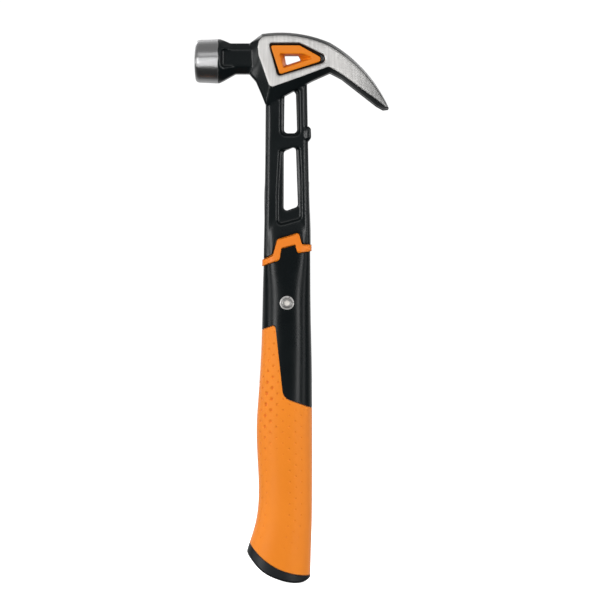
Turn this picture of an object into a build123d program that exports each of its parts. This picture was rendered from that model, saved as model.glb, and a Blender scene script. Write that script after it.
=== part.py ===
"""Claw hammer with a one-piece forged head and shank and an isolated two-layer handle.

Frame, in millimetres: +Z runs up the handle to the head, +X runs from the striking face to the claw,
and Y is the hammer's thickness. The origin is on the level of the butt's lowest point, half-way
between the striking face and the claw's tip.
"""

from build123d import *
from math import cos, copysign, radians, sin
import os

# ---------------------------------------------------------------- driving dimensions
FACE_X = -60.8  # striking face
TIP_X = 60.8  # claw tip

CHEEK_HALF = 12.5  # ground flats of head and claw
PARTING_HALF = 8.0  # where the painted flanks meet the outline
FRAME_HALF = 7.6  # open frame between head and handle
POCKET_FLOOR_HALF = 5.6  # floor of the pocket round the lower window
BAND_HALF = 8.6  # top of the boss on the rear leg
BAND_EDGE_HALF = 7.7  # foot of that boss
BORDER_DEPTH = 1.2  # painted border round the cheek insert
INSERT_DROP = 0.3  # insert's rim below the ground flat
WEB_HALF = 2.5  # steel left between the two cheek inserts
TANG_HALF = 3.5  # flat tang inside the handle

STRIKE_Z = 325.5  # axis of the bell
BELL_RADIUS = 13.9
BELL_FRONT_RADIUS = 13.4  # the bell is a little slimmer just behind its face
BELL_BACK_X = -46.4
FACE_CROWN = 0.7
CROWN_EDGE_RADIUS = 11.0  # where the face's crown meets the bell's rounded edge
CROWN_RADIUS = 86.8
FACE_EDGE_RADIUS = 2.7
NECK_Z = 326.9
NECK_HALF = 9.5
NECK_FLAT_HALF = 5.3
NECK_BACK_X = -26.0

TANG_TOP_HALF = 9.0
TANG_END_HALF = 6.0
TANG_END_X = -4.0
TANG_END_Z = 46.0
SLEEVE_WALL = 1.8
SLEEVE_PROUD = 1.0
GRIP_WALL = 3.0
SPIGOT_RADIUS = 6.0
SPIGOT_X = -6.0
SPIGOT_TOP_Z = 24.0
CAP_EDGE_RADIUS = 1.4

BOLT_X, BOLT_Z = -2.9, 174.3
WASHER_FACE_Y = 11.7  # outer face of the bolt's washers
WASHER_RADIUS = 4.5
WASHER_THICK = 1.8
CUP_DEPTH = 0.9  # recess in the washer for the screw's head
SCREW_HEAD_RADIUS = 3.2
SCREW_HEAD_HEIGHT = 1.3
SCREW_SHANK_RADIUS = 2.0
BARREL_RADIUS = 2.8
BUSH_RADIUS = 5.0
HEX_ACROSS = 3.0
HEX_DEPTH = 1.6

MAGNET_RADIUS = 2.5
MAGNET_LENGTH = 4.0
MAGNET_X = -31.5
MAGNET_TOP_Z = 335.6
NAIL_GROOVE_RADIUS = 2.2

FIT_GAP = 0.05  # clearance of parts that slide together


# ---------------------------------------------------------------- handle outline
# Height, front edge, rear edge, half thickness and power of the handle's oval sections, butt to collar.
# A power of 2 is an ellipse; more is squarer.
HANDLE_SECTIONS = (
    (-4.0, -33.6, 11.4, 15.6, 2.35),
    (10.0, -30.6, 11.8, 15.6, 2.35),
    (24.0, -26.6, 12.2, 15.3, 2.35),
    (36.0, -22.9, 12.6, 14.8, 2.35),
    (52.0, -20.7, 12.8, 14.3, 2.35),
    (75.0, -21.2, 12.85, 14.7, 2.35),
    (98.0, -21.85, 12.85, 15.0, 2.35),
    (118.0, -20.6, 12.75, 14.4, 2.35),
    (140.0, -19.2, 12.5, 13.2, 2.35),
    (165.0, -18.35, 11.95, 12.0, 2.35),
    (186.0, -17.9, 11.7, 10.6, 2.4),
    (206.0, -17.35, 11.6, 9.3, 3.3),
    (225.0, -17.05, 11.4, 8.0, 3.8),
    (250.0, -16.7, 10.8, 6.2, 3.8),
)
OVAL_POINTS = 16

# Upper edge of the collar, and so the lower end of the forged frame, front to rear.
collar_top = FilletPolyline(
    (-24.0, 199.4), (-11.7, 204.1), (-8.9, 214.1), (4.4, 218.2), (6.5, 210.6), (18.0, 211.4),
    radius=(1.6, 1.6, 1.3, 1.2),
)
# Lower edge of the collar, and so the upper end of the handle core.
collar_bottom = FilletPolyline(
    (-24.0, 195.3), (-7.7, 200.9), (-6.5, 208.1), (2.3, 210.6), (3.7, 205.4), (18.0, 207.6),
    radius=(1.6, 1.2, 0.8, 1.2),
)
# Upper edge of the soft grip.
grip_top = FilletPolyline((-26.0, 155.3), (-10.2, 160.8), (-5.2, 115.4), (20.0, 106.6), radius=(1.5, 7.0))
# The seam between grip and butt cap, and the cap's own lower edge.
cap_seam = ThreePointArc((-32.0, 38.9), (-5.2, 7.5), (16.0, 4.8))
cap_bottom = Spline((-32.0, 24.4), (-21.0, 9.7), (-8.5, 2.3), (3.5, 0.03), (9.0, 1.2), (13.4, 4.2))

# Windows, front view, each a closed outline with its corner radii.
UPPER_WINDOW = ((-4.75, 280.3), (-4.4, 306.9), (2.6, 306.9), (3.45, 280.3))
UPPER_WINDOW_RADII = (2.3, 3.6, 2.6, 2.3)
LOWER_WINDOW = ((-5.0, 231.3), (-4.9, 269.1), (2.6, 272.5), (3.9, 234.6))
LOWER_WINDOW_RADII = (2.0, 2.2, 1.8, 2.2)
UPPER_POCKET = ((-6.8, 278.9), (-6.6, 308.6), (4.3, 308.6), (4.9, 278.9))
UPPER_POCKET_RADII = (3.4, 4.6, 3.6, 3.2)
LOWER_POCKET = ((-8.8, 223.0), (-8.8, 242.0), (-7.3, 269.5), (4.6, 271.0), (5.6, 251.0), (5.8, 227.0))
LOWER_POCKET_RADII = (2.4, 6.0, 1.0, 1.0, 6.0, 2.4)

# Band on the rear leg, front view: its outline, and the top of the boss on it.
BAND = (
    (7.8, 278.0), (8.9, 276.3), (10.6, 275.4), (12.2, 277.7),
    (12.0, 283.1), (10.6, 284.5), (8.9, 283.7), (7.8, 281.4),
)
BAND_TOP = (
    (10.0, 278.7), (10.2, 277.8), (10.6, 277.5), (11.3, 278.4),
    (11.2, 282.0), (10.6, 282.7), (10.2, 282.2), (10.0, 281.2),
)

# Cheek recess, insert and sight hole, front view.
BORDER = ((-14.4, 335.9), (5.2, 335.9), (25.8, 325.7), (-8.7, 315.5))
BORDER_RADII = (1.4, 0.8, 2.9, 1.8)
INSERT = ((-13.1, 334.7), (4.9, 334.7), (21.0, 325.7), (-7.4, 316.7))
INSERT_RADII = (1.0, 0.8, 2.0, 1.2)
FUNNEL = ((-7.9, 329.6), (7.4, 329.5), (14.0, 326.9), (-5.0, 320.4))
FUNNEL_RADII = 0.6
SIGHT_HOLE = ((-4.5, 328.8), (4.3, 328.8), (5.7, 325.8), (-3.2, 322.9))

# Plane of the nail slot: across the claws' thickness, +x from the throat to the tips.
CLAW_PLANE = Plane(origin=(19.5, 0, 325.0), x_dir=(0.768, 0, -0.640), z_dir=(0.640, 0, 0.768))


def oval(front, rear, half, power):
    """Closed oval in the current sketch plane, from front to rear in x and half thick in y."""
    middle, reach = (front + rear) / 2, (rear - front) / 2
    points = []
    for i in range(OVAL_POINTS):
        angle = radians(360 * i / OVAL_POINTS)
        c, s = cos(angle), sin(angle)
        x = middle + reach * copysign(abs(c) ** (2 / power), c)
        y = half * copysign(abs(s) ** (2 / power), s)
        points.append((x, y))
    with BuildLine() as outline:
        Spline(*points, periodic=True)
    make_face(outline.edges())


def handle_form(inset):
    """The handle's whole outer form, drawn in by inset on all sides."""
    with BuildPart() as form:
        for height, front, rear, half, power in HANDLE_SECTIONS:
            with BuildSketch(Plane.XY.offset(height)):
                oval(front + inset, rear - inset, half - inset, power)
        loft()
    return form.part


def side_slab(upper, lower):
    """Everything between two front-to-rear lines, as a slab thicker than the handle."""
    with BuildPart() as slab:
        with BuildSketch(Plane.XZ):
            with BuildLine():
                add(upper)
                add(lower)
                Line(upper @ 0, lower @ 0)
                Line(upper @ 1, lower @ 1)
            make_face()
        extrude(amount=30, both=True)
    return slab.part


cross_axis = Location((BOLT_X, 0, BOLT_Z), (90, 0, 0))  # the bolt's centre, local +z along -Y


def tang_bar(grow, top_z):
    """The tang's tapered bar with its cross hole, grown by the same amount on every side."""
    with BuildPart() as bar:
        with BuildSketch(Plane.XZ):
            with BuildLine():
                sides = FilletPolyline(
                    (BOLT_X - TANG_TOP_HALF - grow, top_z),
                    (BOLT_X - TANG_TOP_HALF - grow, 150.0),
                    (TANG_END_X - TANG_END_HALF - grow, TANG_END_Z - grow),
                    (TANG_END_X + TANG_END_HALF + grow, TANG_END_Z - grow),
                    (BOLT_X + TANG_TOP_HALF + grow, 150.0),
                    (BOLT_X + TANG_TOP_HALF + grow, top_z),
                    radius=(20.0, 4.0 + grow, 4.0 + grow, 20.0),
                )
                Line(sides @ 0, sides @ 1)
            make_face()
        extrude(amount=TANG_HALF + grow, both=True)
        with Locations(cross_axis):
            Cylinder(BUSH_RADIUS, 40, mode=Mode.SUBTRACT)
    return bar.part


def nail_slot():
    """Narrow V that opens from the throat towards the claw's tips, in the current sketch."""
    with Locations((3.0, 0)):
        Circle(0.95)
    Polygon((3.0, 0.95), (3.0, -0.95), (60.0, -5.4), (60.0, 5.4), align=None)


def closed_outline(corners, radii):
    """Face inside a closed line with rounded corners, in the current sketch."""
    with BuildLine() as outline:
        FilletPolyline(*corners, radius=radii, close=True)
    make_face(outline.edges())


# ---------------------------------------------------------------- forged head, frame and tang
def head_outline(corner, crown, claw, throat, cheek, front, radii):
    """One closed outline of head and claw: a two-arc crown, then straight runs, with two round corners."""
    with BuildLine() as outline:
        ThreePointArc(corner, crown[0], crown[1])
        ThreePointArc(crown[1], crown[2], claw[0])
        Polyline(*claw, throat[0])
        FilletPolyline(throat[0], throat[1], throat[2], radius=radii[0])
        FilletPolyline(throat[2], cheek[0], cheek[1], radius=radii[1])
        Polyline(cheek[1], *front, corner)
    make_face(outline.edges())


def parting_outline():
    """Outline where the two sides of the forging meet, nearest the middle of the thickness."""
    head_outline(
        corner=(-18.3, 342.1),
        crown=((6.0, 341.9), (24.0, 336.6), (45.2, 319.6)),
        claw=((TIP_X, 295.4), (57.2, 294.9), (53.0, 297.2)),
        throat=((31.0, 314.3), (23.9, 318.0), (13.0, 313.1)),
        cheek=((-16.0, 297.4), (-19.0, 305.0)),
        front=((-22.4, 312.8), (-26.2, 317.2), (-26.6, 325.0), (-26.3, 332.0), (-26.0, 336.4)),
        radii=(0.9, 1.5),
    )


def flats_outline():
    """Outline of the ground flat on each side of head and claw."""
    head_outline(
        corner=(-18.3, 340.2),
        crown=((3.0, 340.4), (23.3, 334.5), (44.3, 318.2)),
        claw=((60.3, 295.8), (58.8, 296.0), (53.9, 299.9)),
        throat=((32.6, 315.6), (23.1, 321.5), (12.5, 317.6)),
        cheek=((-13.3, 308.5), (-15.6, 314.6)),
        front=((-18.3, 322.6), (-19.4, 325.6), (-20.4, 328.2), (-21.1, 333.6), (-20.3, 337.6)),
        radii=(3.0, 2.4),
    )


def octagon(middle_z, half, flat_half):
    """A square with cut corners in a plane across the head."""
    corners = [(half, flat_half), (flat_half, half), (-flat_half, half), (-half, flat_half)]
    corners += [(-y, -z) for y, z in corners]
    with Locations((0, middle_z)):
        Polygon(*corners, align=None)


# Bell: a crowned cylinder cut down by eight facets that run back to the neck.
neck_slope = Vector(19.0, 0, 3.1)  # the neck starts sooner on top than below
with BuildPart() as bell_facets:
    with BuildSketch(Plane.YZ.offset(FACE_X - 2)):
        octagon(STRIKE_Z, BELL_RADIUS + 0.5, 6.7)
    extrude(amount=BELL_BACK_X - FACE_X + 2)
    with BuildSketch(Plane.YZ.offset(BELL_BACK_X)):
        octagon(STRIKE_Z, BELL_RADIUS + 0.5, 6.7)
    with BuildSketch(Plane(origin=(-36.3, 0, NECK_Z), x_dir=(0, 1, 0), z_dir=neck_slope)):
        octagon(0, NECK_HALF, NECK_FLAT_HALF)
    loft(ruled=True)

with BuildPart() as bell:
    with BuildSketch(Plane.XZ):
        with BuildLine():
            face_edge = FACE_X + FACE_CROWN
            crown = RadiusArc((FACE_X, STRIKE_Z), (face_edge, STRIKE_Z + CROWN_EDGE_RADIUS), CROWN_RADIUS)
            corner = RadiusArc(crown @ 1, (face_edge + 2.6, STRIKE_Z + BELL_FRONT_RADIUS), FACE_EDGE_RADIUS)
            Polyline(
                corner @ 1,
                (BELL_BACK_X, STRIKE_Z + BELL_RADIUS),
                (-34.0, STRIKE_Z + BELL_RADIUS),
                (-34.0, STRIKE_Z),
                crown @ 0,
            )
        make_face()
    revolve(axis=Axis((0, 0, STRIKE_Z), (1, 0, 0)))
    add(bell_facets.part, mode=Mode.INTERSECT)

handle_outer = handle_form(0)
frame_slab = side_slab(Line((-24.0, 330.0), (18.0, 330.0)), collar_top)
with BuildPart() as frame_base:
    add(handle_outer)
    add(frame_slab, mode=Mode.INTERSECT)

# Open frame: one tall bar under the head, round at its edges, with two windows through it.
with BuildPart() as frame_bar:
    with BuildSketch(Plane.XZ):
        with BuildLine():
            front_edge = ThreePointArc((-16.2, 316.0), (-16.55, 258.0), (-17.6, 196.0))
            rear_edge = ThreePointArc((9.55, 316.0), (10.6, 258.0), (11.9, 196.0))
            Line(front_edge @ 0, rear_edge @ 0)
            Line(front_edge @ 1, rear_edge @ 1)
        make_face()
    extrude(amount=FRAME_HALF, both=True)
    long_edges = frame_bar.edges().filter_by(GeomType.CIRCLE)
    fillet(long_edges.group_by(Axis.X)[-1], radius=3.6)
    fillet(frame_bar.edges().filter_by(GeomType.CIRCLE).group_by(Axis.X)[0], radius=3.3)
    add(frame_base.part)
    # Band round the rear leg, with a low facetted boss on both sides.
    with BuildSketch(Plane.XZ):
        Polygon(*BAND, align=None)
    extrude(amount=BAND_EDGE_HALF, both=True)
    for side in (1, -1):
        with BuildSketch(Plane.XZ.offset(side * BAND_EDGE_HALF)):
            Polygon(*BAND, align=None)
        with BuildSketch(Plane.XZ.offset(side * BAND_HALF)):
            Polygon(*BAND_TOP, align=None)
        loft(ruled=True)
    # Shallow pocket round each window on both sides.
    for side in (1, -1):
        with BuildSketch(Plane.XZ.offset(side * POCKET_FLOOR_HALF)):
            closed_outline(LOWER_POCKET, LOWER_POCKET_RADII)
            closed_outline(UPPER_POCKET, UPPER_POCKET_RADII)
        extrude(amount=side * 10, taper=-14, mode=Mode.SUBTRACT)
    # The windows themselves.
    with BuildSketch(Plane.XZ):
        closed_outline(UPPER_WINDOW, UPPER_WINDOW_RADII)
        closed_outline(LOWER_WINDOW, LOWER_WINDOW_RADII)
    extrude(amount=20, both=True, mode=Mode.SUBTRACT)

with BuildPart() as frame:
    add(frame_bar.part)
    add(frame_slab, mode=Mode.INTERSECT)

tang = tang_bar(0, 224.0)

with BuildPart() as forged_head:
    with BuildSketch(Plane.XZ):
        parting_outline()
    extrude(amount=PARTING_HALF, both=True)
    for side in (1, -1):
        with BuildSketch(Plane.XZ.offset(side * PARTING_HALF)):
            parting_outline()
        with BuildSketch(Plane.XZ.offset(side * CHEEK_HALF)):
            flats_outline()
        loft(ruled=True)
    # Neck, then bell.
    with BuildSketch(Plane.YZ.offset(-41.0)):
        octagon(NECK_Z, NECK_HALF, NECK_FLAT_HALF)
    extrude(amount=20)
    add(bell.part)
    add(frame.part)
    add(tang)
    # Flat panels on both sides of the neck, let into the back of the bell.
    with BuildSketch(Plane.XY.offset(321.5)):
        for side in (1, -1):
            with BuildLine():
                Polyline(
                    (-44.4, side * 15),
                    (-43.2, side * NECK_HALF),
                    (-34.0, side * NECK_HALF),
                    (-34.0, side * 15),
                    close=True,
                )
            make_face()
    extrude(amount=11.0, mode=Mode.SUBTRACT)
    # Nail slot between the claws, bevelled on top.
    with BuildSketch(CLAW_PLANE):
        nail_slot()
    extrude(amount=30, both=True, mode=Mode.SUBTRACT)
    with BuildSketch(CLAW_PLANE.offset(1.0)):
        nail_slot()
    extrude(amount=16, taper=-24, mode=Mode.SUBTRACT)
    # Stepped recess in each cheek: a shallow painted border round a deep seat for the insert.
    for side in (1, -1):
        with BuildSketch(Plane.XZ.offset(side * (CHEEK_HALF - BORDER_DEPTH))):
            closed_outline(BORDER, BORDER_RADII)
        extrude(amount=side * 4, mode=Mode.SUBTRACT)
        with BuildSketch(Plane.XZ.offset(side * WEB_HALF)):
            closed_outline(INSERT, INSERT_RADII)
        extrude(amount=side * 12, mode=Mode.SUBTRACT)
    with BuildSketch(Plane.XZ):
        closed_outline(SIGHT_HOLE, 0.5)
    extrude(amount=20, both=True, mode=Mode.SUBTRACT)
    # Nail-starting groove along the top of neck and bell, with a seat for its magnet.
    with BuildSketch(Plane.YZ.offset(FACE_X - 2)):
        with Locations((0, NECK_Z + NECK_HALF + 1.6)):
            Circle(NAIL_GROOVE_RADIUS)
    extrude(amount=NECK_BACK_X - FACE_X + 2, mode=Mode.SUBTRACT)
    with Locations((MAGNET_X, 0, MAGNET_TOP_Z - MAGNET_LENGTH / 2)):
        Cylinder(MAGNET_RADIUS, MAGNET_LENGTH + 0.001, mode=Mode.SUBTRACT)


# ---------------------------------------------------------------- small pieces in the head
def cheek_insert(side):
    """One cheek's insert: a flush rim, a funnel floor and the sight hole."""
    with BuildPart() as insert:
        with BuildSketch(Plane.XZ.offset(side * WEB_HALF)):
            closed_outline(INSERT, INSERT_RADII)
        extrude(amount=side * (CHEEK_HALF - INSERT_DROP - WEB_HALF))
        with BuildSketch(Plane.XZ.offset(side * (CHEEK_HALF - INSERT_DROP))):
            closed_outline(FUNNEL, FUNNEL_RADII)
        with BuildSketch(Plane.XZ.offset(side * (WEB_HALF + 1.2))):
            closed_outline(SIGHT_HOLE, 0.5)
        loft(ruled=True, mode=Mode.SUBTRACT)
        with BuildSketch(Plane.XZ):
            closed_outline(SIGHT_HOLE, 0.5)
        extrude(amount=side * 10, mode=Mode.SUBTRACT)
    return insert.part


left_insert = cheek_insert(1)
right_insert = cheek_insert(-1)

with BuildPart() as nail_magnet:
    with Locations((MAGNET_X, 0, MAGNET_TOP_Z - MAGNET_LENGTH / 2)):
        Cylinder(MAGNET_RADIUS, MAGNET_LENGTH)
    chamfer(nail_magnet.faces().sort_by(Axis.Z)[-1].edges(), length=0.3)

# ---------------------------------------------------------------- handle: sleeve, core, grip, cap
sleeve_outer = tang_bar(SLEEVE_WALL, 212.0)

with BuildPart() as isolation_sleeve:
    add(handle_form(-SLEEVE_PROUD))
    add(side_slab(collar_top, collar_bottom), mode=Mode.INTERSECT)
    add(sleeve_outer)
    add(frame.part, mode=Mode.SUBTRACT)
    add(tang, mode=Mode.SUBTRACT)

grip_slab = side_slab(grip_top, cap_seam)
core_slab = side_slab(collar_bottom, cap_seam)
cap_slab = side_slab(cap_seam, cap_bottom)

with BuildPart() as grip:
    add(handle_outer)
    add(grip_slab, mode=Mode.INTERSECT)
    add(handle_form(GRIP_WALL), mode=Mode.SUBTRACT)

with BuildPart() as handle_core:
    add(handle_outer)
    add(core_slab, mode=Mode.INTERSECT)
    add(grip.part, mode=Mode.SUBTRACT)
    add(isolation_sleeve.part, mode=Mode.SUBTRACT)
    add(tang, mode=Mode.SUBTRACT)
    with Locations(cross_axis):
        Cylinder(BARREL_RADIUS + FIT_GAP, 40, mode=Mode.SUBTRACT)
        Cylinder(BUSH_RADIUS, 2 * (TANG_HALF + SLEEVE_WALL), mode=Mode.SUBTRACT)
    for side in (1, -1):
        with BuildSketch(Plane.XZ.offset(side * (WASHER_FACE_Y - WASHER_THICK))):
            with Locations((BOLT_X, BOLT_Z)):
                Circle(WASHER_RADIUS + FIT_GAP)
        extrude(amount=side * 6, mode=Mode.SUBTRACT)
    with Locations((SPIGOT_X, 0, SPIGOT_TOP_Z / 2)):
        Cylinder(SPIGOT_RADIUS + FIT_GAP, SPIGOT_TOP_Z + 2 * FIT_GAP, mode=Mode.SUBTRACT)

with BuildPart() as butt_cap:
    add(handle_outer)
    add(cap_slab, mode=Mode.INTERSECT)
    under = butt_cap.faces().filter_by(lambda face: face.normal_at().Z < -0.5)
    fillet(under.edges().filter_by(GeomType.LINE, reverse=True), radius=CAP_EDGE_RADIUS)
    with Locations((SPIGOT_X, 0, SPIGOT_TOP_Z / 2 + 3.0)):
        Cylinder(SPIGOT_RADIUS, SPIGOT_TOP_Z - 6.0)

# ---------------------------------------------------------------- cross bolt through handle and tang
with BuildPart() as tang_bush:
    with Locations(cross_axis):
        Cylinder(BUSH_RADIUS, 2 * (TANG_HALF + SLEEVE_WALL))
        Cylinder(BARREL_RADIUS + FIT_GAP, 40, mode=Mode.SUBTRACT)


def cross_plane(side, y):
    """Plane across the bolt at distance y from the middle, on the side whose outward normal is away."""
    return Plane(origin=(BOLT_X, -side * y, BOLT_Z), x_dir=(1, 0, 0), z_dir=(0, -side, 0))


def cup_washer(side):
    with BuildPart() as washer:
        with BuildSketch(cross_plane(side, WASHER_FACE_Y - WASHER_THICK)):
            Circle(WASHER_RADIUS)
            Circle(BARREL_RADIUS + FIT_GAP, mode=Mode.SUBTRACT)
        extrude(amount=WASHER_THICK)
        with BuildSketch(cross_plane(side, WASHER_FACE_Y - CUP_DEPTH)):
            Circle(SCREW_HEAD_RADIUS + FIT_GAP)
        extrude(amount=CUP_DEPTH, mode=Mode.SUBTRACT)
        outer_face = washer.faces().sort_by(Axis.Y)[0 if side > 0 else -1]
        fillet(outer_face.edges().sort_by(SortBy.LENGTH)[-1], radius=0.6)
    return washer.part


def button_head(side):
    """Domed screw head with a hexagon socket, seated in its washer."""
    with BuildPart() as head:
        with BuildSketch(cross_plane(side, WASHER_FACE_Y - CUP_DEPTH)):
            Circle(SCREW_HEAD_RADIUS)
        extrude(amount=SCREW_HEAD_HEIGHT)
        crown = head.faces().sort_by(Axis.Y)[0 if side > 0 else -1]
        fillet(crown.edges(), radius=0.9)
        with BuildSketch(cross_plane(side, WASHER_FACE_Y - CUP_DEPTH + SCREW_HEAD_HEIGHT - HEX_DEPTH)):
            RegularPolygon(HEX_ACROSS / 2, 6, major_radius=False)
        extrude(amount=HEX_DEPTH, mode=Mode.SUBTRACT)
    return head.part


seat_y = WASHER_FACE_Y - CUP_DEPTH
left_washer = cup_washer(1)
right_washer = cup_washer(-1)
screw_head = button_head(1)
barrel_head = button_head(-1)

with BuildPart() as handle_screw:
    add(screw_head)
    with BuildSketch(cross_plane(1, seat_y)):
        Circle(SCREW_SHANK_RADIUS)
    extrude(amount=-(seat_y + 4.0))

with BuildPart() as barrel_nut:
    add(barrel_head)
    with BuildSketch(cross_plane(-1, seat_y)):
        Circle(BARREL_RADIUS)
    extrude(amount=-(seat_y + 7.0))
    with BuildSketch(cross_plane(1, 7.0)):
        Circle(SCREW_SHANK_RADIUS + FIT_GAP)
    extrude(amount=-14.0, mode=Mode.SUBTRACT)

# ---------------------------------------------------------------- files
pieces = {
    "forged_head": forged_head.part,
    "insert_left": left_insert,
    "insert_right": right_insert,
    "nail_magnet": nail_magnet.part,
    "isolation_sleeve": isolation_sleeve.part,
    "handle_core": handle_core.part,
    "grip": grip.part,
    "butt_cap": butt_cap.part,
    "tang_bush": tang_bush.part,
    "washer_left": left_washer,
    "washer_right": right_washer,
    "handle_screw": handle_screw.part,
    "barrel_nut": barrel_nut.part,
}
os.makedirs("parts", exist_ok=True)
for name, piece in pieces.items():
    piece.label = name
    export_step(piece, "parts/" + name + ".step")
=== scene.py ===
import math

import bmesh
import bpy
import numpy as np
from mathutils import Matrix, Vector


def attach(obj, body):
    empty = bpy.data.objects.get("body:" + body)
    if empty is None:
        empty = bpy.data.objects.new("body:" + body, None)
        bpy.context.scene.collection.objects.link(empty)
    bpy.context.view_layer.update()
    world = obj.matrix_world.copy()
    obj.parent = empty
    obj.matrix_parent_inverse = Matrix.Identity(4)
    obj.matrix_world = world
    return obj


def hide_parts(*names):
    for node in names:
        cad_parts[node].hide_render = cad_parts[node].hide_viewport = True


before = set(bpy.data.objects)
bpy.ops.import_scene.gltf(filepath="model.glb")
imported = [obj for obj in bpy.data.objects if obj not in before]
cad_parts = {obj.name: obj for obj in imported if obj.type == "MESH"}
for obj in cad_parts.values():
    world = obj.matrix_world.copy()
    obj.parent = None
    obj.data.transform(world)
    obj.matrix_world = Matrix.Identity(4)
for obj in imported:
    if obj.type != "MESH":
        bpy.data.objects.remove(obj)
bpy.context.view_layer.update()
MM = 0.001

# Lengths below are in millimetres.
CHEEK_HALF = 12.5  # ground flats of the head, from the middle plane
PARTING_HALF = 8.0  # where the painted flanks meet the outline
BELL_AXIS_Z = 325.5
BELL_PAINT_X = -45.6  # where the black paint ends and the turned bell begins
BOLT = (-2.9, 174.3)  # axis of the cross bolt, x and z
SOCKET_RADIUS = 1.5  # radius of the screw socket's floor, painted brighter as painted light
DIMPLE_ROW_PITCH = 6.88
DIMPLE_COLUMN_PITCH = 3.9


# ------------------------------------------------------------------ handle form, in millimetres
# Height, front edge, rear edge, half thickness and squareness of the oval sections, butt to collar.
SECTIONS = np.array([
    (-4.0, -33.6, 11.4, 15.6, 2.35),
    (10.0, -30.6, 11.8, 15.6, 2.35),
    (24.0, -26.6, 12.2, 15.3, 2.35),
    (36.0, -22.9, 12.6, 14.8, 2.35),
    (52.0, -20.7, 12.8, 14.3, 2.35),
    (75.0, -21.2, 12.85, 14.7, 2.35),
    (98.0, -21.85, 12.85, 15.0, 2.35),
    (118.0, -20.6, 12.75, 14.4, 2.35),
    (140.0, -19.2, 12.5, 13.2, 2.35),
    (165.0, -18.35, 11.95, 12.0, 2.35),
    (186.0, -17.9, 11.7, 10.6, 2.4),
    (206.0, -17.35, 11.6, 9.3, 3.3),
    (225.0, -17.05, 11.4, 8.0, 3.8),
])


def spline(xs, ys):
    """Natural cubic spline through the points, as a function on arrays."""
    n = len(xs)
    h = np.diff(xs)
    a = np.zeros((n, n))
    b = np.zeros(n)
    a[0, 0] = a[-1, -1] = 1
    for i in range(1, n - 1):
        a[i, i - 1], a[i, i], a[i, i + 1] = h[i - 1], 2 * (h[i - 1] + h[i]), h[i]
        b[i] = 6 * ((ys[i + 1] - ys[i]) / h[i] - (ys[i] - ys[i - 1]) / h[i - 1])
    m = np.linalg.solve(a, b)

    def at(x):
        x = np.clip(x, xs[0], xs[-1])
        i = np.clip(np.searchsorted(xs, x) - 1, 0, n - 2)
        t, u = x - xs[i], xs[i + 1] - x
        return ((m[i] * u**3 + m[i + 1] * t**3) / (6 * h[i])
                + (ys[i] / h[i] - m[i] * h[i] / 6) * u
                + (ys[i + 1] / h[i] - m[i + 1] * h[i] / 6) * t)

    return at


front_at, rear_at, half_at, power_at = (spline(SECTIONS[:, 0], SECTIONS[:, k]) for k in range(1, 5))


def section(angle, z, inset=0.0):
    """Points of the handle's oval at height z: x, y, with the wall drawn in by inset."""
    middle = (front_at(z) + rear_at(z)) / 2
    reach = (rear_at(z) - front_at(z)) / 2 - inset
    half = half_at(z) - inset
    p = power_at(z)
    c, s = np.cos(angle), np.sin(angle)
    r = (np.abs(c / reach) ** p + np.abs(s / half) ** p) ** (-1 / p)
    return middle + r * c, r * s


def rounded_line(points, radii, steps=7):
    """Polyline with its inner corners rounded, as a function z(x)."""
    pts = [np.array(p, float) for p in points]
    out = [pts[0]]
    for k in range(1, len(pts) - 1):
        p, a, b = pts[k], pts[k - 1] - pts[k], pts[k + 1] - pts[k]
        a, b = a / np.linalg.norm(a), b / np.linalg.norm(b)
        half_turn = math.acos(np.clip(a @ b, -1, 1)) / 2
        reach = radii[k - 1] / math.tan(half_turn)
        centre = p + (a + b) / np.linalg.norm(a + b) * radii[k - 1] / math.sin(half_turn)
        start, end = p + a * reach, p + b * reach
        a0 = math.atan2(*(start - centre)[::-1])
        a1 = math.atan2(*(end - centre)[::-1])
        turn = (a1 - a0 + math.pi) % (2 * math.pi) - math.pi
        for t in np.linspace(0, 1, steps):
            angle = a0 + turn * t
            out.append(centre + radii[k - 1] * np.array([math.cos(angle), math.sin(angle)]))
    out.append(pts[-1])
    out = np.array(out)
    return lambda x: np.interp(x, out[:, 0], out[:, 1])


def arc_line(cx, cz, r):
    """Lower half of a circle, as a function z(x)."""
    return lambda x: cz - np.sqrt(np.maximum(r * r - (x - cx) ** 2, 1.0))


collar_top = rounded_line(
    [(-24.0, 199.4), (-11.7, 204.1), (-8.9, 214.1), (4.4, 218.2), (6.5, 210.6), (18.0, 211.4)],
    (1.6, 1.6, 1.3, 1.2))
collar_bottom = rounded_line(
    [(-24.0, 195.3), (-7.7, 200.9), (-6.5, 208.1), (2.3, 210.6), (3.7, 205.4), (18.0, 207.6)],
    (1.6, 1.2, 0.8, 1.2))
grip_top = rounded_line([(-26.0, 155.3), (-10.2, 160.8), (-5.2, 115.4), (20.0, 106.6)], (1.5, 7.0), 15)
cap_seam = arc_line(10.74, 48.25, 43.76)
cap_bottom = spline(np.array([-32.0, -21.0, -8.5, 3.5, 9.0, 13.4]), np.array([24.4, 9.7, 2.3, 0.05, 1.25, 4.2]))


def height_on(line, angle, inset=0.0):
    """Height at which the surface line at each angle crosses a boundary given as z(x)."""
    z = line(section(angle, np.full_like(angle, 100.0), inset)[0])
    for _ in range(60):
        z = 0.5 * z + 0.5 * line(section(angle, z, inset)[0])
    return z


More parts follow.
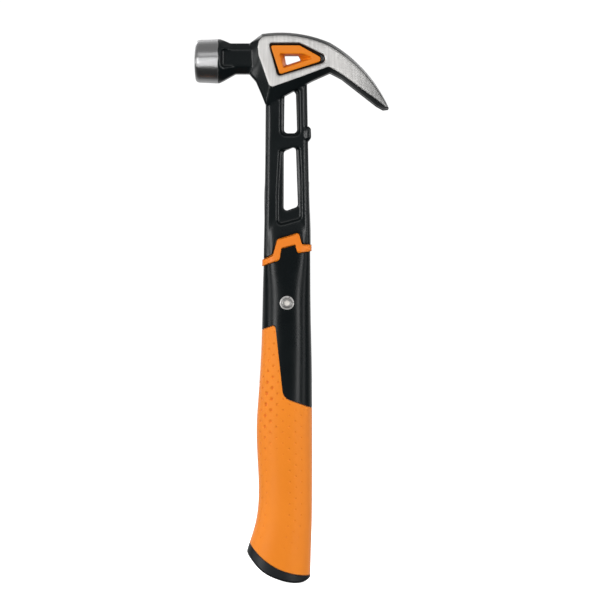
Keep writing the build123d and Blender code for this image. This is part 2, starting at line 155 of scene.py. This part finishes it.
def ring(name, stations, count=360, closed=True, pole=None, shift=None, crowd=1.0):
    """Mesh round the handle. Each station is (lower line, upper line, fraction, inset, lift).

    crowd packs more columns into the steep run of the grip's upper line.
    """
    angle = np.linspace(0, 2 * np.pi, 7200, endpoint=False)
    x_there = section(angle, np.full_like(angle, 125.0))[0]
    weight = np.where((x_there > -11.0) & (x_there < -4.2), crowd, 1.0)
    angle = np.interp((np.arange(count) + 0.5) / count, np.cumsum(weight) / weight.sum(), angle)
    rows = []
    cache = {}

    def boundary(line, inset):
        key = (id(line), round(inset, 3))
        if key not in cache:
            cache[key] = height_on(line, angle, inset)
        return cache[key]

    for lower, upper, t, inset, lift in stations:
        ref = inset if lower is cap_bottom and t == 0.0 else min(inset, 3.0)
        z = boundary(lower, ref) * (1 - t) + boundary(upper, ref) * t + lift
        x, y = section(angle, z, inset)
        co = np.stack([x, y, z], 1)
        if shift is not None and inset == 0.0:
            co = shift(angle, co)
        rows.append(co)
    rows = np.array(rows)
    n_rows = len(rows)
    verts = rows.reshape(-1, 3) * MM
    i, j = np.meshgrid(np.arange(n_rows if closed else n_rows - 1), np.arange(count), indexing="ij")
    i2, j2 = (i + 1) % n_rows, (j + 1) % count
    quads = np.stack([i * count + j, i * count + j2, i2 * count + j2, i2 * count + j], -1).reshape(-1, 4)
    faces = [tuple(q) for q in quads]
    verts = [tuple(v) for v in verts]
    if pole is not None:
        verts.append(tuple(np.array(pole) * MM))
        last = (n_rows - 1) * count
        faces += [(last + k, last + (k + 1) % count, len(verts) - 1) for k in range(count)]
        verts.append(tuple(np.array(rows[0].mean(0)) * MM))
        faces += [((k + 1) % count, k, len(verts) - 1) for k in range(count)]
    return add_mesh(name, verts, faces)


def add_mesh(name, verts, faces):
    mesh = bpy.data.meshes.new(name)
    mesh.from_pydata(verts, [], faces)
    mesh.validate()
    bm = bmesh.new()
    bm.from_mesh(mesh)
    bmesh.ops.recalc_face_normals(bm, faces=bm.faces)
    bm.to_mesh(mesh)
    bm.free()
    mesh.polygons.foreach_set("use_smooth", [True] * len(mesh.polygons))
    obj = bpy.data.objects.new(name, mesh)
    bpy.context.scene.collection.objects.link(obj)
    return obj


# ------------------------------------------------------------------ materials
def principled(name, colour, rough, metallic=0.0, spec=0.5):
    mat = bpy.data.materials.new(name)
    mat.use_nodes = True
    bsdf = mat.node_tree.nodes["Principled BSDF"]
    bsdf.inputs["Base Color"].default_value = (*colour, 1)
    bsdf.inputs["Roughness"].default_value = rough
    bsdf.inputs["Metallic"].default_value = metallic
    bsdf.inputs["Specular IOR Level"].default_value = spec
    return mat


class Nodes:
    """Small helper that adds and links nodes of one material."""

    def __init__(self, mat):
        self.tree = mat.node_tree
        self.bsdf = self.tree.nodes["Principled BSDF"]
        self.coord = self.tree.nodes.new("ShaderNodeTexCoord")

    def new(self, kind, **values):
        node = self.tree.nodes.new(kind)
        for key, value in values.items():
            if hasattr(node, key):
                setattr(node, key, value)
            else:
                node.inputs[key.replace("_", " ")].default_value = value
        return node

    def link(self, a, b):
        self.tree.links.new(a, b)

    def noise(self, scale, detail=3.0, stretch=(1, 1, 1), rough=0.5):
        mapping = self.new("ShaderNodeMapping")
        mapping.inputs["Scale"].default_value = stretch
        self.link(self.coord.outputs["Object"], mapping.inputs["Vector"])
        noise = self.new("ShaderNodeTexNoise")
        noise.inputs["Scale"].default_value = scale
        noise.inputs["Detail"].default_value = detail
        noise.inputs["Roughness"].default_value = rough
        self.link(mapping.outputs["Vector"], noise.inputs["Vector"])
        return noise.outputs["Fac"]

    def span(self, value, a, b, lo=0.0, hi=1.0, smooth=False):
        node = self.new("ShaderNodeMapRange")
        node.interpolation_type = "SMOOTHSTEP" if smooth else "LINEAR"
        for socket, number in zip(("From Min", "From Max", "To Min", "To Max"), (a, b, lo, hi)):
            node.inputs[socket].default_value = number
        self.link(value, node.inputs["Value"])
        return node.outputs["Result"]

    def math(self, operation, a, b=None):
        node = self.new("ShaderNodeMath", operation=operation)
        for socket, value in zip(node.inputs, (a, b)):
            if value is None:
                continue
            if isinstance(value, (int, float)):
                socket.default_value = value
            else:
                self.link(value, socket)
        return node.outputs[0]

    def mix(self, factor, a, b):
        node = self.new("ShaderNodeMix", data_type="RGBA")
        self.link(factor, node.inputs["Factor"])
        for socket, value in ((node.inputs[6], a), (node.inputs[7], b)):
            if isinstance(value, tuple):
                socket.default_value = (*value, 1)
            else:
                self.link(value, socket)
        return node.outputs[2]

    def bump(self, height, distance):
        node = self.new("ShaderNodeBump")
        node.inputs["Distance"].default_value = distance
        node.inputs["Strength"].default_value = 1.0
        self.link(height, node.inputs["Height"])
        return node.outputs["Normal"]

    def attribute(self, name):
        node = self.new("ShaderNodeAttribute", attribute_name=name)
        return node.outputs["Fac"]

    def set(self, socket, value):
        self.link(value, self.bsdf.inputs[socket])


def moulded(name, colour, dark, rough, spec=0.45, grain=0.000003, scale=2600.0):
    """Moulded plastic or rubber: slight mottling of colour and gloss, and a fine spark-eroded grain."""
    mat = principled(name, colour, rough, spec=spec)
    n = Nodes(mat)
    broad = n.noise(45.0, 3.0)
    fine = n.noise(scale, 2.0)
    n.set("Base Color", n.mix(n.span(broad, 0.3, 0.7), dark, colour))
    n.set("Roughness", n.span(broad, 0.3, 0.7, rough - 0.04, rough + 0.05))
    n.set("Normal", n.bump(fine, grain))
    return mat


black_core = moulded("core_black", (0.0026, 0.0046, 0.0053), (0.0020, 0.0037, 0.0043), 0.27, spec=0.25)
black_cap = moulded("cap_black", (0.009, 0.011, 0.0125), (0.007, 0.009, 0.0105), 0.42, spec=0.3)
orange_grip = moulded("grip_orange", (0.84, 0.234, 0.008), (0.81, 0.219, 0.007), 0.5, spec=0.24)
orange_grip.node_tree.nodes["Principled BSDF"].inputs["Sheen Weight"].default_value = 0.22
orange_sleeve = moulded("sleeve_orange", (0.83, 0.215, 0.007), (0.79, 0.196, 0.006), 0.4, spec=0.3)
orange_insert = moulded("insert_orange", (0.77, 0.212, 0.008), (0.74, 0.200, 0.007), 0.4, spec=0.3)
rubber_bush = moulded("bush_rubber", (0.02, 0.02, 0.02), (0.016, 0.016, 0.016), 0.6)


# ------------------------------------------------------------------ forging
def remeshed(name, node, voxel, smooth_steps, factor=0.5):
    """Copy of a CAD node with an even mesh and softly rounded edges."""
    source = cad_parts[node]
    obj = bpy.data.objects.new(name, source.data.copy())
    bpy.context.scene.collection.objects.link(obj)
    obj.matrix_world = source.matrix_world.copy()
    obj.data.materials.clear()
    weld = obj.modifiers.new("weld", "WELD")
    weld.merge_threshold = 1e-6
    mod = obj.modifiers.new("remesh", "REMESH")
    mod.mode = "VOXEL"
    mod.voxel_size = voxel
    mod.adaptivity = 0.0
    smooth = obj.modifiers.new("smooth", "SMOOTH")
    smooth.factor = factor
    smooth.iterations = smooth_steps
    mesh = bpy.data.meshes.new_from_object(obj.evaluated_get(bpy.context.evaluated_depsgraph_get()))
    obj.modifiers.clear()
    old = obj.data
    obj.data = mesh
    mesh.name = name
    bpy.data.meshes.remove(old)
    mesh.polygons.foreach_set("use_smooth", [True] * len(mesh.polygons))
    soften_normals(mesh, 12)
    return obj


def soften_normals(mesh, rounds):
    """Average the shading normals over neighbours, so that a remeshed surface shades evenly."""
    n_verts = len(mesh.vertices)
    edges = np.empty(len(mesh.edges) * 2, int)
    mesh.edges.foreach_get("vertices", edges)
    a, b = edges[0::2], edges[1::2]
    normals = np.empty(n_verts * 3)
    mesh.vertices.foreach_get("normal", normals)
    normals = normals.reshape(-1, 3)
    for _ in range(rounds):
        total = normals * 2.0
        for k in range(3):
            total[:, k] += np.bincount(a, normals[b, k], n_verts) + np.bincount(b, normals[a, k], n_verts)
        normals = total / np.linalg.norm(total, axis=1)[:, None]
    mesh.normals_split_custom_set_from_vertices([tuple(v) for v in normals])


def node_points(obj):
    co = np.empty(len(obj.data.vertices) * 3)
    obj.data.vertices.foreach_get("co", co)
    matrix = np.array(obj.matrix_world)
    return (co.reshape(-1, 3) @ matrix[:3, :3].T + matrix[:3, 3]) / MM


def set_values(obj, name, values):
    """Store one number per vertex for the materials to read."""
    layer = obj.data.attributes.new(name, "FLOAT", "POINT")
    layer.data.foreach_set("value", values.astype(np.float32))


def flat_edges(node, y_plane):
    """Boundary segments, in x and z, of the CAD faces that lie in the plane y = y_plane."""
    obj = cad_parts[node]
    pts = node_points(obj)
    keys = np.round(pts, 3)
    _, same = np.unique(keys, axis=0, return_inverse=True)
    same = same.reshape(-1)
    seen = {}
    for poly in obj.data.polygons:
        loop = list(poly.vertices)
        if any(abs(pts[v][1] - y_plane) > 0.004 for v in loop):
            continue
        for a, b in zip(loop, loop[1:] + loop[:1]):
            key = tuple(sorted((same[a], same[b])))
            if key in seen:
                seen[key] = None
            else:
                seen[key] = (pts[a][[0, 2]], pts[b][[0, 2]])
    return np.array([s for s in seen.values() if s is not None])


def signed_distance(points, segments):
    """Distance to the closed outline made of the segments, positive inside."""
    out = np.full(len(points), 1e9)
    inside = np.zeros(len(points), bool)
    for a, b in segments:
        d = b - a
        t = np.clip(((points - a) @ d) / max(d @ d, 1e-12), 0, 1)
        gap = points - a - t[:, None] * d
        out = np.minimum(out, np.hypot(gap[:, 0], gap[:, 1]))
        crosses = (a[1] > points[:, 1]) != (b[1] > points[:, 1])
        if abs(d[1]) > 1e-12:
            x = a[0] + (points[:, 1] - a[1]) * d[0] / d[1]
            inside ^= crosses & (points[:, 0] < x)
    return np.where(inside, out, -out)


forging = remeshed("forging", "forged_head", 0.00036, 5)
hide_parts("forged_head")
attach(forging, "root")



def ground_flat(co):
    """Distance inside the outline of the cheeks' ground flats, negative off them."""
    near = (np.abs(co[:, 1]) > 7.0) & (co[:, 0] > -30)
    inside = np.full(len(co), -5.0)
    outline = flat_edges("forged_head", -CHEEK_HALF)
    inside[near] = signed_distance(co[near][:, [0, 2]], outline)
    return np.minimum(inside, (np.abs(co[:, 1]) - CHEEK_HALF + 0.35) * 3)


def bare_crown(co):
    """Height above the line where paint meets bare steel along the top of the head and claw."""
    outer = spline(
        np.array([-18.3, 6.0, 24.0, 36.0, 45.2, 53.6, 58.0, 60.9]),
        np.array([342.1, 341.9, 336.6, 328.4, 319.6, 308.6, 301.2, 295.4]))
    inner = spline(
        np.array([-18.3, 3.0, 23.6, 35.0, 44.5, 53.0, 57.3, 60.0]),
        np.array([341.1, 341.2, 335.2, 327.2, 318.4, 307.4, 300.4, 296.2]))
    share = np.clip((np.abs(co[:, 1]) - PARTING_HALF) / (CHEEK_HALF - PARTING_HALF), 0, 1)
    line = (1 - share) * outer(co[:, 0]) + share * inner(co[:, 0])
    above = co[:, 2] - line + 0.55
    above = np.where(co[:, 0] < -17.5, np.minimum(above, (co[:, 0] + 18.3) * 1.2), above)
    return np.clip(above, -5, 5)


def turned_bell(co):
    """Distance in front of the bell's scalloped paint line."""
    around = np.arctan2(co[:, 2] - BELL_AXIS_Z, co[:, 1])
    scallop = 0.35 * np.abs(np.sin(4 * around + np.pi / 8)) ** 0.5
    paint_line = BELL_PAINT_X - scallop + 0.12 * np.sin(11 * around)
    return np.clip(paint_line - co[:, 0], -5, 5)


def float_mix(n, factor, a, b):
    node = n.new("ShaderNodeMix", data_type="FLOAT")
    n.link(factor, node.inputs[0])
    n.link(a, node.inputs[2])
    n.link(b, node.inputs[3])
    return node.outputs[0]


def forging_material():
    """Black paint, with bare steel on the flats, along the crown and on the bell."""
    mat = principled("forged_steel_and_paint", (0.01, 0.011, 0.012), 0.3, spec=0.4)
    n = Nodes(mat)
    ground = n.span(n.attribute("ground"), -0.08, 0.08, smooth=True)
    crown = n.span(n.attribute("crown"), -0.08, 0.08, smooth=True)
    turned = n.span(n.attribute("turned"), -0.2, 0.2, smooth=True)
    steel_mask = n.math("MAXIMUM", n.math("MAXIMUM", ground, crown), turned)

    streak = n.noise(700.0, 2.0, stretch=(1.0, 1.0, 0.1), rough=0.5)
    mottle = n.noise(160.0, 4.0, stretch=(1.0, 1.0, 0.5), rough=0.6)
    round_streak = n.noise(2600.0, 3.0, stretch=(1.0, 0.03, 0.03), rough=0.6)
    streak_share = n.span(streak, 0.3, 0.7)
    round_share = n.span(round_streak, 0.3, 0.7)

    bright = n.mix(streak_share, (0.56, 0.55, 0.535), (0.75, 0.735, 0.72))
    bright = n.mix(n.span(mottle, 0.35, 0.7, 0.0, 0.35), bright, (0.80, 0.79, 0.775))
    # Painted shade: the ground steel is painted darker towards the claw's tip.
    claw_tip_painted_shade = n.mix(streak_share, (0.30, 0.30, 0.295), (0.40, 0.40, 0.395))
    bright = n.mix(n.span(n.attribute("to_tip"), 30.0, 58.0, smooth=True), bright, claw_tip_painted_shade)
    # Painted shade: the bare steel along the crown gets a darker copy of the ground steel's colour.
    crown_steel_painted_shade = n.mix(streak_share, (0.17, 0.17, 0.17), (0.24, 0.24, 0.24))
    bell = n.mix(round_share, (0.57, 0.57, 0.575), (0.62, 0.62, 0.625))
    steel = n.mix(turned, n.mix(ground, crown_steel_painted_shade, bright), bell)
    paint_share = n.span(n.noise(60.0, 3.0), 0.3, 0.7)
    paint = n.mix(paint_share, (0.0026, 0.0046, 0.0053), (0.0038, 0.0060, 0.0067))
    n.set("Base Color", n.mix(steel_mask, paint, steel))
    n.set("Metallic", steel_mask)

    # Highlights stretch along x, as the marks of grinding and turning make them.
    brushed = n.math("MULTIPLY", ground, 0.75)
    n.set("Anisotropic", n.math("ADD", brushed, n.math("MULTIPLY", turned, 0.94)))
    along = n.new("ShaderNodeCombineXYZ")
    along.inputs["X"].default_value = 1.0
    n.link(along.outputs[0], n.bsdf.inputs["Tangent"])

    rough_ground = n.span(streak, 0.3, 0.7, 0.47, 0.54)
    rough_turned = n.span(round_streak, 0.3, 0.7, 0.38, 0.42)
    rough_paint = n.span(n.noise(60.0, 2.0), 0.3, 0.7, 0.27, 0.31)
    rough_steel = float_mix(n, turned, rough_ground, rough_turned)
    n.set("Roughness", float_mix(n, steel_mask, rough_paint, rough_steel))

    height = n.math("MULTIPLY", streak, n.math("MULTIPLY", ground, 0.12))
    height = n.math("ADD", height, n.math("MULTIPLY", round_streak, n.math("MULTIPLY", turned, 0.1)))
    paint_peel = n.math("SUBTRACT", 0.4, n.math("MULTIPLY", steel_mask, 0.4))
    peel = n.math("MULTIPLY", n.noise(420.0, 2.0), paint_peel)
    n.set("Normal", n.bump(n.math("ADD", height, peel), 0.000008))
    return mat


points = node_points(forging)
set_values(forging, "ground", ground_flat(points))
set_values(forging, "to_tip", points[:, 0])
set_values(forging, "crown", bare_crown(points))
set_values(forging, "turned", turned_bell(points))
forging.data.materials.append(forging_material())


# ------------------------------------------------------------------ handle pieces
def dimples(angle, co):
    """Staggered concave dimples on both sides of the grip, largest beside its front edge."""
    z = co[:, 2]
    table = np.linspace(0, np.pi, 240)
    x0, y0 = section(np.pi - table, np.full_like(table, 110.0))
    arc = np.concatenate([[0], np.cumsum(np.hypot(np.diff(x0), np.diff(y0)))])
    turn = np.abs((angle % (2 * np.pi)) - np.pi)
    s = np.interp(turn, table, arc)
    depth = np.zeros(len(co))
    for column in range(1, 10):
        centre_s = 1.3 + column * DIMPLE_COLUMN_PITCH
        start = 135.3 + (DIMPLE_ROW_PITCH / 2 if column % 2 else 0.0)
        spot = start + np.round((z - start) / DIMPLE_ROW_PITCH) * DIMPLE_ROW_PITCH
        fade = np.exp(-((spot - 114.0) / 23.0) ** 2) * np.exp(-((centre_s - 14.0) / 5.5) ** 2)
        start_z = 80.0 if 14.0 < centre_s < 27.0 else 20.0
        faint = 1.0 / (1.0 + np.exp((start_z - spot) / 6.0))
        size = (0.72 + 0.80 * fade) * (0.5 + 0.5 * faint)
        deep = (0.27 + 0.45 * fade) * (0.2 + 0.8 * faint)
        dist = np.hypot(s - centre_s, z - spot) / size
        bowl = np.clip(1 - dist**2, 0, 1)
        keep = (spot > cap_seam(co[:, 0]) + 4.0) & (spot < grip_top(co[:, 0]) - 2.6)
        depth = np.where(keep, np.maximum(depth, deep * bowl), depth)
    middle = (front_at(z) + rear_at(z)) / 2
    normal = np.stack([co[:, 0] - middle, co[:, 1], np.zeros(len(co))], 1)
    normal /= np.linalg.norm(normal, axis=1)[:, None]
    return co - normal * depth[:, None]


def bolt_recess(angle, co):
    """Round recess with a sloping wall under each washer of the cross bolt."""
    from_axis = np.hypot(co[:, 0] - BOLT[0], co[:, 2] - BOLT[1])
    out = co.copy()
    out[:, 1] -= np.sign(co[:, 1]) * 2.4 * np.clip((3.5 - from_axis) / 0.2, 0, 1)
    return out


def wall(lower, upper, rows, inset, outer_radius=0.5, deep=3.0):
    """Stations of a closed ring: rounded lower edge, outer surface, rounded upper edge, inner surface."""
    stations = [(lower, upper, 0.0, inset + deep, 0.02)]
    for k in range(6):
        a = math.pi / 2 * k / 5
        stations.append((lower, upper, 0.0, inset + outer_radius * (1 - math.sin(a)),
                         0.02 + outer_radius * (1 - math.cos(a))))
    for k in range(1, rows):
        stations.append((lower, upper, k / rows, inset, 0.0))
    for k in range(6):
        a = math.pi / 2 * (1 - k / 5)
        stations.append((lower, upper, 1.0, inset + outer_radius * (1 - math.sin(a)),
                         -0.02 - outer_radius * (1 - math.cos(a))))
    stations.append((lower, upper, 1.0, inset + deep, -0.02))
    for k in range(1, 12):
        stations.append((lower, upper, 1 - k / 12, inset + deep, 0.0))
    return stations


grip = ring("grip_soft", wall(cap_seam, grip_top, 520, 0.0, 0.45, 2.9),
            960, shift=dimples, crowd=5.0)
collar = ring("isolation_collar", wall(collar_bottom, collar_top, 24, -0.9, 0.7, 5.5), 900)

core_stations = [(cap_seam, grip_top, 0.0, 3.05, 0.3)]
core_stations += [(cap_seam, grip_top, k / 20, 3.05, 0.0) for k in range(1, 20)]
core_stations += [(cap_seam, grip_top, 1.0, 3.05, 0.03)]
core_stations += wall(grip_top, collar_bottom, 200, 0.0, 0.35, 6.0)[1:-12]
core_stations += [(grip_top, collar_bottom, 1.0, 6.0, -0.03)]
core_stations += [(cap_seam, collar_bottom, 1 - k / 30, 6.0, 0.0) for k in range(1, 30)]
core_stations += [(cap_seam, grip_top, 0.0, 6.0, 0.3)]
core = ring("handle_core_black", core_stations, 900, shift=bolt_recess, crowd=4.0)

cap_stations = [(cap_bottom, cap_seam, 1.0, 6.0, -0.03)]
for k in range(6):
    a = math.pi / 2 * k / 5
    cap_stations.append((cap_bottom, cap_seam, 1.0, 0.4 * (1 - math.sin(a)), -0.03 - 0.4 * (1 - math.cos(a))))
cap_stations += [(cap_bottom, cap_seam, 1 - k / 12, 0.0, 0.0) for k in range(1, 9)]
for k in range(9):
    a = math.pi / 2 * k / 8
    cap_stations.append((cap_bottom, cap_seam, 0.0, 1.5 * (1 - math.cos(a)), 1.5 * (1 - math.sin(a))))
cap_stations += [(cap_bottom, cap_seam, 0.0, 1.5 + 12.6 * (k / 16), 0.0) for k in range(1, 16)]
cap = ring("butt_cap_black", cap_stations, 360, closed=False, pole=(-9.0, 0.0, 2.45))


def sunk_depth(co):
    """How far each point lies under the oval."""
    z = co[:, 2]
    angle = np.arctan2(co[:, 1], co[:, 0] - (front_at(z) + rear_at(z)) / 2)
    surface = np.stack(section(angle, z), 1)
    return np.clip(np.linalg.norm(surface - co[:, :2], axis=1), 0, 1)


def paint_shade_in_dimples(mat):
    """Painted shade: give the dimples a darker orange, deeper ones darker, because their form alone barely
    shows in soft light.
    """
    n = Nodes(mat)
    plain = n.bsdf.inputs["Base Color"].links[0].from_socket
    share = n.span(n.attribute("hollow"), 0.04, 0.5, 0.0, 0.9)
    # Painted shade in the dimples: the orange turns darker with the depth of each hollow.
    n.set("Base Color", n.mix(share, plain, (0.66, 0.145, 0.003)))


set_values(grip, "hollow", sunk_depth(node_points(grip)))
paint_shade_in_dimples(orange_grip)

for obj, node, slot, mat in (
    (grip, "grip", "grip", orange_grip),
    (collar, "isolation_sleeve", "sleeve", orange_sleeve),
    (core, "handle_core", "core", black_core),
    (cap, "butt_cap", "cap", black_cap),
):
    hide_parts(node)
    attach(obj, "root")
    obj.data.materials.append(mat)

# ------------------------------------------------------------------ inserts and small hardware
for side in ("left", "right"):
    insert = remeshed("cheek_insert_" + side, "insert_" + side, 0.00022, 4)
    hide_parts("insert_" + side)
    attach(insert, "root")
    insert.data.materials.append(orange_insert)


def zinc_material():
    """Dull zinc plate, part metallic so that it takes up some of the fill light."""
    mat = principled("zinc_steel", (0.6, 0.585, 0.57), 0.3, metallic=0.7)
    n = Nodes(mat)
    n.set("Roughness", n.span(n.noise(900.0, 3.0), 0.3, 0.7, 0.24, 0.38))
    n.set("Base Color", n.mix(n.noise(400.0, 3.0), (0.58, 0.565, 0.55), (0.76, 0.745, 0.725)))
    n.set("Normal", n.bump(n.noise(2500.0, 2.0), 0.00002))
    return mat


def screw_material():
    """Plated screw with painted light: its socket floor is painted brighter and less metallic, and the head
    round it darker and more metallic.
    """
    mat = principled("screw_zinc", (0.6, 0.585, 0.57), 0.3, metallic=0.9)
    n = Nodes(mat)
    place = n.new("ShaderNodeSeparateXYZ")
    n.link(n.coord.outputs["Object"], place.inputs[0])
    off_x = n.math("ADD", place.outputs["X"], -BOLT[0] * MM)
    off_z = n.math("ADD", place.outputs["Z"], -BOLT[1] * MM)
    squares = n.math("ADD", n.math("MULTIPLY", off_x, off_x), n.math("MULTIPLY", off_z, off_z))
    off_axis = n.math("SQRT", squares)
    inner = SOCKET_RADIUS * MM
    outer = (SOCKET_RADIUS + 0.4) * MM
    # Painted highlight on the socket floor and painted shade on the head round it.
    n.set("Base Color", n.mix(n.span(off_axis, inner, outer), (0.95, 0.92, 0.88), (0.5, 0.49, 0.48)))
    n.set("Metallic", n.span(off_axis, inner, outer, 0.25, 0.9))
    n.set("Roughness", n.span(n.noise(900.0, 3.0), 0.3, 0.7, 0.26, 0.36))
    return mat


def nickel_material():
    mat = principled("nickel", (0.6, 0.58, 0.55), 0.2, metallic=1.0)
    n = Nodes(mat)
    n.set("Roughness", n.span(n.noise(500.0, 3.0), 0.3, 0.7, 0.15, 0.3))
    return mat


zinc = zinc_material()
screw_zinc = screw_material()
nickel = nickel_material()
for name, mat in (
    ("washer_left", zinc),
    ("washer_right", zinc),
    ("handle_screw", screw_zinc),
    ("barrel_nut", zinc),
    ("nail_magnet", nickel),
    ("tang_bush", rubber_bush),
):
    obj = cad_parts[name]
    for slot in obj.material_slots:
        slot.material = mat

# ------------------------------------------------------------------ stage, light, camera
def pale_floor():
    """Floor that glows as pale as the backdrop and takes no part in the light."""
    mesh = bpy.data.meshes.new("floor")
    mesh.from_pydata([(-6, -6, 0), (6, -6, 0), (6, 6, 0), (-6, 6, 0)], [], [(0, 1, 2, 3)])
    obj = bpy.data.objects.new("floor", mesh)
    bpy.context.scene.collection.objects.link(obj)
    obj.location.z = -0.0002
    obj.visible_glossy = False
    obj.visible_diffuse = False
    obj.visible_shadow = False
    mat = principled("floor_pale", (0.9, 0.9, 0.9), 0.9, spec=0.0)
    bsdf = mat.node_tree.nodes["Principled BSDF"]
    bsdf.inputs["Emission Color"].default_value = (1, 1, 1, 1)
    bsdf.inputs["Emission Strength"].default_value = 1.0
    mesh.materials.append(mat)
    return obj


def world_ramp(tree, value, numbers):
    """Smooth step of a value, from one range to another."""
    node = tree.nodes.new("ShaderNodeMapRange")
    node.interpolation_type = "SMOOTHSTEP"
    for socket, number in zip(("From Min", "From Max", "To Min", "To Max"), numbers):
        node.inputs[socket].default_value = number
    tree.links.new(value, node.inputs["Value"])
    return node.outputs[0]


def studio_world():
    """White to the camera, and as light a dim gradient that rises upwards and behind the object."""
    world = bpy.data.worlds.new("studio")
    bpy.context.scene.world = world
    world.use_nodes = True
    tree = world.node_tree
    background = tree.nodes["Background"]
    light_path = tree.nodes.new("ShaderNodeLightPath")
    direction = tree.nodes.new("ShaderNodeTexCoord")
    parts = tree.nodes.new("ShaderNodeSeparateXYZ")
    tree.links.new(direction.outputs["Generated"], parts.inputs[0])
    total = tree.nodes.new("ShaderNodeMath")
    tree.links.new(world_ramp(tree, parts.outputs["Z"], (-0.25, 0.5, 0.04, 0.26)), total.inputs[0])
    tree.links.new(world_ramp(tree, parts.outputs["Y"], (0.1, 0.9, 0.0, 0.5)), total.inputs[1])
    choice = tree.nodes.new("ShaderNodeMix")
    choice.data_type = "RGBA"
    choice.inputs[7].default_value = (1.05, 1.05, 1.05, 1)
    tree.links.new(light_path.outputs["Is Camera Ray"], choice.inputs[0])
    tree.links.new(total.outputs[0], choice.inputs[6])
    tree.links.new(choice.outputs[2], background.inputs["Color"])
    background.inputs["Strength"].default_value = 1.0


def softbox(name, azimuth, elevation, distance, width, height, radiance):
    """Area light that faces the middle of the object from the given direction."""
    data = bpy.data.lights.new(name, "AREA")
    data.shape = "RECTANGLE"
    data.size, data.size_y = width, height
    data.energy = radiance * math.pi * width * height
    obj = bpy.data.objects.new(name, data)
    bpy.context.scene.collection.objects.link(obj)
    a, e = math.radians(azimuth), math.radians(elevation)
    middle = Vector((0, 0, 0.2))
    back = Vector((math.sin(a) * math.cos(e), -math.cos(a) * math.cos(e), math.sin(e)))
    obj.location = middle + back * distance
    obj.rotation_mode = "QUATERNION"
    obj.rotation_quaternion = back.to_track_quat("Z", "Y")
    obj.visible_camera = False
    return obj


def square_on_camera():
    """Long lens square on to the side of the hammer."""
    data = bpy.data.cameras.new("camera")
    obj = bpy.data.objects.new("camera", data)
    bpy.context.scene.collection.objects.link(obj)
    distance = 2.5
    view_width = 0.37512
    data.sensor_width = 36.0
    data.lens = data.sensor_width * distance / view_width
    data.clip_start = 0.1
    data.clip_end = 50
    obj.location = (0.00522, -distance, 0.17624)
    obj.rotation_euler = (math.radians(90), 0, 0)
    bpy.context.scene.camera = obj


pale_floor()
studio_world()

# Azimuth and elevation in degrees, then distance, width and height in metres, then radiance.
softbox("key_left", -37, -2, 1.3, 0.30, 1.0, 7.5)
softbox("key_right", 37, -2, 1.3, 0.24, 1.0, 6.5)
softbox("rim_left", -68, 3.8, 1.3, 0.38, 0.34, 3.2)
softbox("rim_right", 70, 0, 1.3, 0.30, 0.7, 2.0)
softbox("front_top", 0, 38, 1.6, 1.0, 0.5, 1.3)
softbox("back_left", 150, 25, 1.6, 0.5, 0.8, 2.5)
softbox("back_right", -150, 25, 1.6, 0.5, 0.8, 2.5)

# Fill light that brightens matt colour and is not reflected.
fills = (
    softbox("soft_fill", -4, 12, 1.8, 1.2, 1.2, 1.75),
    softbox("side_fill_left", -88, 5, 1.6, 1.0, 1.0, 3.5),
    softbox("side_fill_right", 84, 5, 1.6, 1.0, 1.0, 3.2),
)
for light in fills:
    light.visible_glossy = False

square_on_camera()
bpy.context.scene.view_settings.view_transform = "Standard"
bpy.context.scene.view_settings.look = "None"
